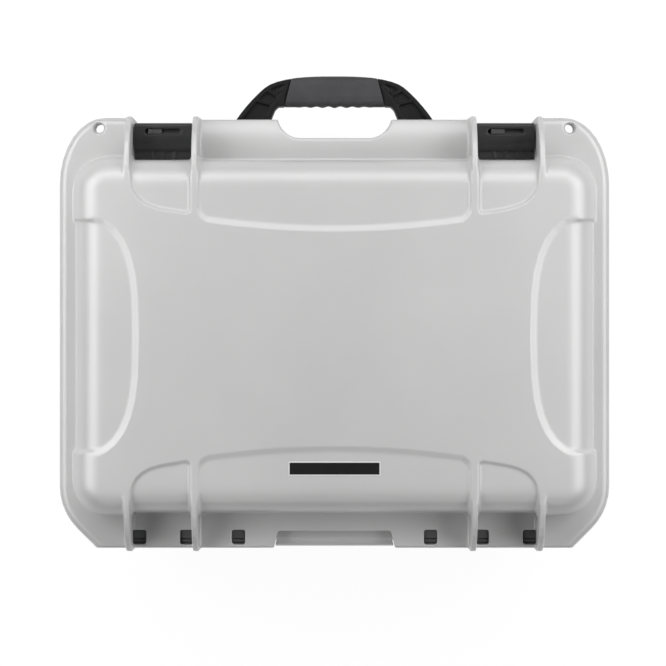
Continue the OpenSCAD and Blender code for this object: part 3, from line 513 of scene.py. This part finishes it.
# Foam: charcoal open-cell foam, a flat pad on the floor, a block with pockets cut by a water jet,
# and a convoluted pad glued into the lid. Cut edges are slightly rounded and the cells show.
def foam(name, pale, deep):
    """Open-cell foam: fine pores in tone and relief, with a soft bloom at grazing light."""
    made = bpy.data.materials.new(name)
    made.use_nodes = True
    nodes, join = made.node_tree.nodes, made.node_tree.links.new
    shader = nodes["Principled BSDF"]
    place = nodes.new("ShaderNodeTexCoord")
    pores = nodes.new("ShaderNodeTexVoronoi")
    pores.inputs["Scale"].default_value = 900
    patches = nodes.new("ShaderNodeTexNoise")
    patches.inputs["Scale"].default_value = 35
    patches.inputs["Detail"].default_value = 6
    mix = nodes.new("ShaderNodeMath")
    mix.operation = "MULTIPLY_ADD"
    mix.inputs[1].default_value = 0.5
    tones = nodes.new("ShaderNodeValToRGB")
    tones.color_ramp.elements[0].position = 0.3
    tones.color_ramp.elements[1].position = 1
    tones.color_ramp.elements[0].color = (*deep, 1)
    tones.color_ramp.elements[1].color = (*pale, 1)
    bump = nodes.new("ShaderNodeBump")
    bump.inputs["Strength"].default_value = 0.5
    bump.inputs["Distance"].default_value = 0.0005
    join(place.outputs["Object"], pores.inputs["Vector"])
    join(place.outputs["Object"], patches.inputs["Vector"])
    join(pores.outputs["Distance"], mix.inputs[0])
    join(patches.outputs["Fac"], mix.inputs[2])
    join(mix.outputs["Value"], tones.inputs["Fac"])
    join(tones.outputs["Color"], shader.inputs["Base Color"])
    join(pores.outputs["Distance"], bump.inputs["Height"])
    join(bump.outputs["Normal"], shader.inputs["Normal"])
    shader.inputs["Roughness"].default_value = 0.95
    shader.inputs["Specular IOR Level"].default_value = 0.15
    shader.inputs["Sheen Weight"].default_value = 0.15
    shader.inputs["Sheen Roughness"].default_value = 0.6
    return made


charcoal = foam("charcoal_foam", (0.06, 0.06, 0.063), (0.022, 0.022, 0.024))
for name, node, body, grain, rounds, fill in (
    ("floor_sheet", "floor_pad", "base", 0.003, 3, 0.9),
    ("cut_foam", "base_foam", "base", 0.002, 4, 0.9),
    ("wave_foam", "lid_foam", "lid", 0.002, 10, 0.8),
):
    pad = moulded(name, node, grain, rounds)
    pad.data.materials.append(charcoal)
    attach(pad, body)
    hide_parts(node)


# Studio: a white sweep under the case, seen as pure white where nothing shades it, soft lamps round
# the handle side, broad near ones at both ends, and two weak ones at the hinge side.
FLOOR_SIZE = 14
FLOOR_DROP = 0.0003
floor_place = Matrix.Translation((0, 0, -FLOOR_DROP))
ground = bmesh.new()
bmesh.ops.create_grid(ground, x_segments=1, y_segments=1, size=FLOOR_SIZE / 2, matrix=floor_place)
white = bpy.data.materials.new("white_sweep")
white.use_nodes = True
sweep_nodes, sweep_join = white.node_tree.nodes, white.node_tree.links.new
matt = sweep_nodes["Principled BSDF"]
matt.inputs["Base Color"].default_value = (0.9, 0.9, 0.9, 1)
matt.inputs["Roughness"].default_value = 0.9
glow = sweep_nodes.new("ShaderNodeEmission")
glow.inputs["Strength"].default_value = 1.06
rays = sweep_nodes.new("ShaderNodeLightPath")
seen = sweep_nodes.new("ShaderNodeMath")
seen.operation = "MAXIMUM"
seen_through = sweep_nodes.new("ShaderNodeMath")
seen_through.operation = "MAXIMUM"
share = sweep_nodes.new("ShaderNodeMath")
share.operation = "MULTIPLY"
share.inputs[1].default_value = 0.88
both = sweep_nodes.new("ShaderNodeMixShader")
sweep_join(rays.outputs["Is Camera Ray"], seen.inputs[0])
sweep_join(rays.outputs["Is Glossy Ray"], seen.inputs[1])
sweep_join(seen.outputs["Value"], seen_through.inputs[0])
sweep_join(rays.outputs["Is Transmission Ray"], seen_through.inputs[1])
sweep_join(seen_through.outputs["Value"], share.inputs[0])
sweep_join(share.outputs["Value"], both.inputs["Fac"])
sweep_join(matt.outputs["BSDF"], both.inputs[1])
sweep_join(glow.outputs["Emission"], both.inputs[2])
sweep_join(both.outputs["Shader"], sweep_nodes["Material Output"].inputs["Surface"])
floor = piece_from(ground, "floor", white)

sky = bpy.data.worlds.new("studio")
scene.world = sky
sky.use_nodes = True
sky_nodes, sky_join = sky.node_tree.nodes, sky.node_tree.links.new
backdrop = sky_nodes["Background"]
backdrop.inputs["Color"].default_value = (1, 1, 1, 1)
sky_rays = sky_nodes.new("ShaderNodeLightPath")
sky_seen = sky_nodes.new("ShaderNodeMath")
sky_seen.operation = "MAXIMUM"
sky_level = sky_nodes.new("ShaderNodeMapRange")
sky_level.inputs["To Min"].default_value = 0.005
sky_level.inputs["To Max"].default_value = 1.0
sky_join(sky_rays.outputs["Is Camera Ray"], sky_seen.inputs[0])
sky_join(sky_rays.outputs["Is Transmission Ray"], sky_seen.inputs[1])
sky_join(sky_seen.outputs["Value"], sky_level.inputs["Value"])
sky_join(sky_level.outputs["Result"], backdrop.inputs["Strength"])


LIT_POINT = Vector((0, 0, 0.12))


def softbox(name, place, width, height, power):
    """A soft rectangular lamp that faces the case."""
    lamp = bpy.data.lights.new(name, "AREA")
    lamp.shape = "RECTANGLE"
    lamp.size = width
    lamp.size_y = height
    lamp.energy = power
    box = bpy.data.objects.new(name, lamp)
    box.location = place
    box.rotation_euler = (LIT_POINT - Vector(place)).to_track_quat("-Z", "Y").to_euler()
    box.visible_camera = False
    scene.collection.objects.link(box)


softbox("far_handle_box", (0, -1.389, 1.559), width=1.2, height=0.5, power=5.5)
softbox("near_handle_box", (0, -0.779, 0.57), width=0.54, height=0.22, power=0.85)
softbox("low_hinge_box", (0, 1.088, 0.627), width=0.72, height=0.3, power=0.9)
softbox("high_hinge_box", (0, 0.688, 1.103), width=0.72, height=0.3, power=0.5)
for side, turn in (("right", 1), ("left", -1)):
    softbox(side + "_end_box", (turn * 0.654, 0, 0.663), width=0.85, height=0.5, power=3.67)
    softbox(side + "_corner_box", (turn * 0.52, -0.52, 0.789), width=0.6, height=0.4, power=2.1)

scene.view_settings.view_transform = "Standard"
